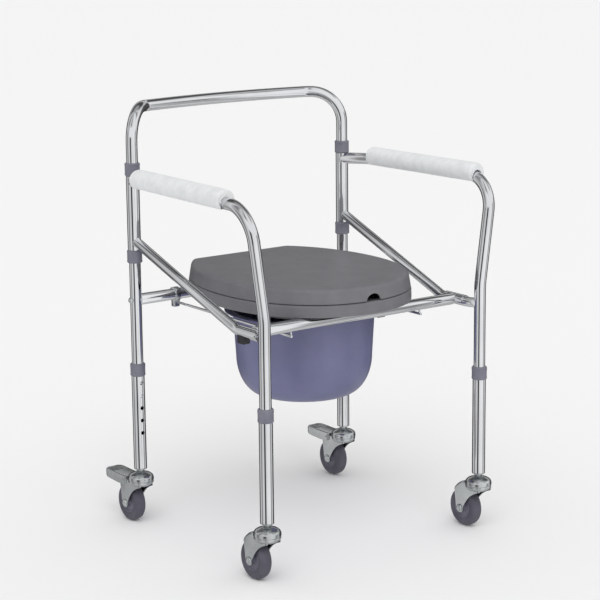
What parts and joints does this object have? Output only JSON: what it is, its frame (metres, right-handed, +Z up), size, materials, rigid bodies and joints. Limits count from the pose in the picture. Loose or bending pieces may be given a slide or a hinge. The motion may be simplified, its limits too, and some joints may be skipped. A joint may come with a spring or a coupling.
{
  "type": "commode chair",
  "caption": "Folding commode chair on castors with chromed tube frame, padded arms, lift-up seat ring with hinged lid and sliding pail.",
  "frame": {"origin": "floor level under the middle of the whole chair's box, castors trailing to the rear", "axes": "+X to the left arm as seen from the front, +Y from the front to the back rest, +Z up"},
  "size_m": [0.5914, 0.56, 0.8281],
  "materials": {
    "chrome_tube": "polished",
    "zinc": "bright zinc",
    "seat_plastic": "satin",
    "collar_plastic": "satin",
    "pail_plastic": "soft gloss",
    "foam": "matt closed-cell foam",
    "tyre": "smooth matt",
    "hub_plastic": "matt",
    "black_rubber": "matt"
  },
  "bodies": {
    "frame": {"rear_hoop": "chrome_tube", "rear_crossbar": "chrome_tube", "crossbar_screws": "zinc", "arm_tube_left": "chrome_tube", "arm_tube_right": "chrome_tube", "sleeve_left": "chrome_tube", "sleeve_right": "chrome_tube", "sleeve_collars_left": "collar_plastic", "sleeve_collars_right": "collar_plastic", "brace_left": "chrome_tube", "brace_right": "chrome_tube", "brace_block": "black_rubber", "arm_pad_left": "foam", "arm_pad_right": "foam"},
    "seat_frame": {"front_bar": "chrome_tube", "saddles": "chrome_tube", "pail_rail_left": "chrome_tube", "pail_rail_right": "chrome_tube", "rail_hangers": "zinc", "ring_clips": "seat_plastic", "seat_ring": "seat_plastic", "hinge_pins": "zinc"},
    "lid": {"lid": "seat_plastic", "lid_bumpers": "black_rubber"},
    "pail": {"pail": "pail_plastic"},
    "leg_fl": {"leg_extension_fl": "chrome_tube", "leg_collar_fl": "collar_plastic", "castor_stem_fl": "zinc"},
    "button_fl": {"snap_button_fl": "zinc"},
    "castor_fl": {"castor_fork_fl": "zinc", "castor_axle_fl": "zinc"},
    "wheel_fl": {"castor_tyre_fl": "tyre", "castor_hub_fl": "hub_plastic"},
    "leg_fr": {"leg_extension_fr": "chrome_tube", "leg_collar_fr": "collar_plastic", "castor_stem_fr": "zinc"},
    "button_fr": {"snap_button_fr": "zinc"},
    "castor_fr": {"castor_fork_fr": "zinc", "castor_axle_fr": "zinc"},
    "wheel_fr": {"castor_tyre_fr": "tyre", "castor_hub_fr": "hub_plastic"},
    "leg_rl": {"leg_extension_rl": "chrome_tube", "leg_collar_rl": "collar_plastic", "castor_stem_rl": "zinc"},
    "button_rl": {"snap_button_rl": "zinc"},
    "castor_rl": {"castor_fork_rl": "zinc", "castor_axle_rl": "zinc"},
    "wheel_rl": {"castor_tyre_rl": "tyre", "castor_hub_rl": "hub_plastic"},
    "pedal_left": {"brake_pedal_left": "zinc"},
    "leg_rr": {"leg_extension_rr": "chrome_tube", "leg_collar_rr": "collar_plastic", "castor_stem_rr": "zinc"},
    "button_rr": {"snap_button_rr": "zinc"},
    "castor_rr": {"castor_fork_rr": "zinc", "castor_axle_rr": "zinc"},
    "wheel_rr": {"castor_tyre_rr": "tyre", "castor_hub_rr": "hub_plastic"},
    "pedal_right": {"brake_pedal_right": "zinc"}
  },
  "joints": [
    {"name": "seat_lift", "type": "hinge", "parent": "frame", "child": "seat_frame", "pos_m": [0, 0.174, 0.451], "axis": [-1, 0, 0], "range_deg": [0, 85]},
    {"name": "lid_hinge", "type": "hinge", "parent": "seat_frame", "child": "lid", "pos_m": [0, 0.1915, 0.486], "axis": [1, 0, 0], "range_deg": [-88, 0]},
    {"name": "pail_slide", "type": "slide", "parent": "seat_frame", "child": "pail", "axis": [0, 1, 0], "range_m": [0, 0.3]},
    {"name": "leg_slide_fl", "type": "slide", "parent": "frame", "child": "leg_fl", "axis": [0, 0, 1], "range_m": [0, 0.1]},
    {"name": "button_press_fl", "type": "slide", "parent": "frame", "child": "button_fl", "axis": [0, 1, 0], "range_m": [0, 0.0025], "stiffness_N_per_m": 300, "springref_m": 0.0025},
    {"name": "castor_swivel_fl", "type": "hinge", "parent": "leg_fl", "child": "castor_fl", "pos_m": [-0.25, -0.256, 0], "axis": [0, 0, 1], "continuous": true},
    {"name": "wheel_spin_fl", "type": "hinge", "parent": "castor_fl", "child": "wheel_fl", "pos_m": [-0.25, -0.22, 0.0375], "axis": [1, 0, 0], "continuous": true},
    {"name": "leg_slide_fr", "type": "slide", "parent": "frame", "child": "leg_fr", "axis": [0, 0, 1], "range_m": [0, 0.1]},
    {"name": "button_press_fr", "type": "slide", "parent": "frame", "child": "button_fr", "axis": [0, 1, 0], "range_m": [0, 0.0025], "stiffness_N_per_m": 300, "springref_m": 0.0025},
    {"name": "castor_swivel_fr", "type": "hinge", "parent": "leg_fr", "child": "castor_fr", "pos_m": [0.25, -0.256, 0], "axis": [0, 0, 1], "continuous": true},
    {"name": "wheel_spin_fr", "type": "hinge", "parent": "castor_fr", "child": "wheel_fr", "pos_m": [0.25, -0.22, 0.0375], "axis": [1, 0, 0], "continuous": true},
    {"name": "leg_slide_rl", "type": "slide", "parent": "frame", "child": "leg_rl", "axis": [0, 0, 1], "range_m": [0, 0.1]},
    {"name": "button_press_rl", "type": "slide", "parent": "frame", "child": "button_rl", "axis": [0, -1, 0], "range_m": [0, 0.0025], "stiffness_N_per_m": 300, "springref_m": 0.0025},
    {"name": "castor_swivel_rl", "type": "hinge", "parent": "leg_rl", "child": "castor_rl", "pos_m": [-0.25, 0.174, 0], "axis": [0, 0, 1], "continuous": true},
    {"name": "wheel_spin_rl", "type": "hinge", "parent": "castor_rl", "child": "wheel_rl", "pos_m": [-0.25, 0.21, 0.0375], "axis": [1, 0, 0], "continuous": true},
    {"name": "brake_left", "type": "hinge", "parent": "castor_rl", "child": "pedal_left", "pos_m": [-0.25, 0.212, 0.084], "axis": [-1, 0, 0], "range_deg": [0, 8]},
    {"name": "leg_slide_rr", "type": "slide", "parent": "frame", "child": "leg_rr", "axis": [0, 0, 1], "range_m": [0, 0.1]},
    {"name": "button_press_rr", "type": "slide", "parent": "frame", "child": "button_rr", "axis": [0, -1, 0], "range_m": [0, 0.0025], "stiffness_N_per_m": 300, "springref_m": 0.0025},
    {"name": "castor_swivel_rr", "type": "hinge", "parent": "leg_rr", "child": "castor_rr", "pos_m": [0.25, 0.174, 0], "axis": [0, 0, 1], "continuous": true},
    {"name": "wheel_spin_rr", "type": "hinge", "parent": "castor_rr", "child": "wheel_rr", "pos_m": [0.25, 0.21, 0.0375], "axis": [1, 0, 0], "continuous": true},
    {"name": "brake_right", "type": "hinge", "parent": "castor_rr", "child": "pedal_right", "pos_m": [0.25, 0.212, 0.084], "axis": [-1, 0, 0], "range_deg": [0, 8]}
  ]
}
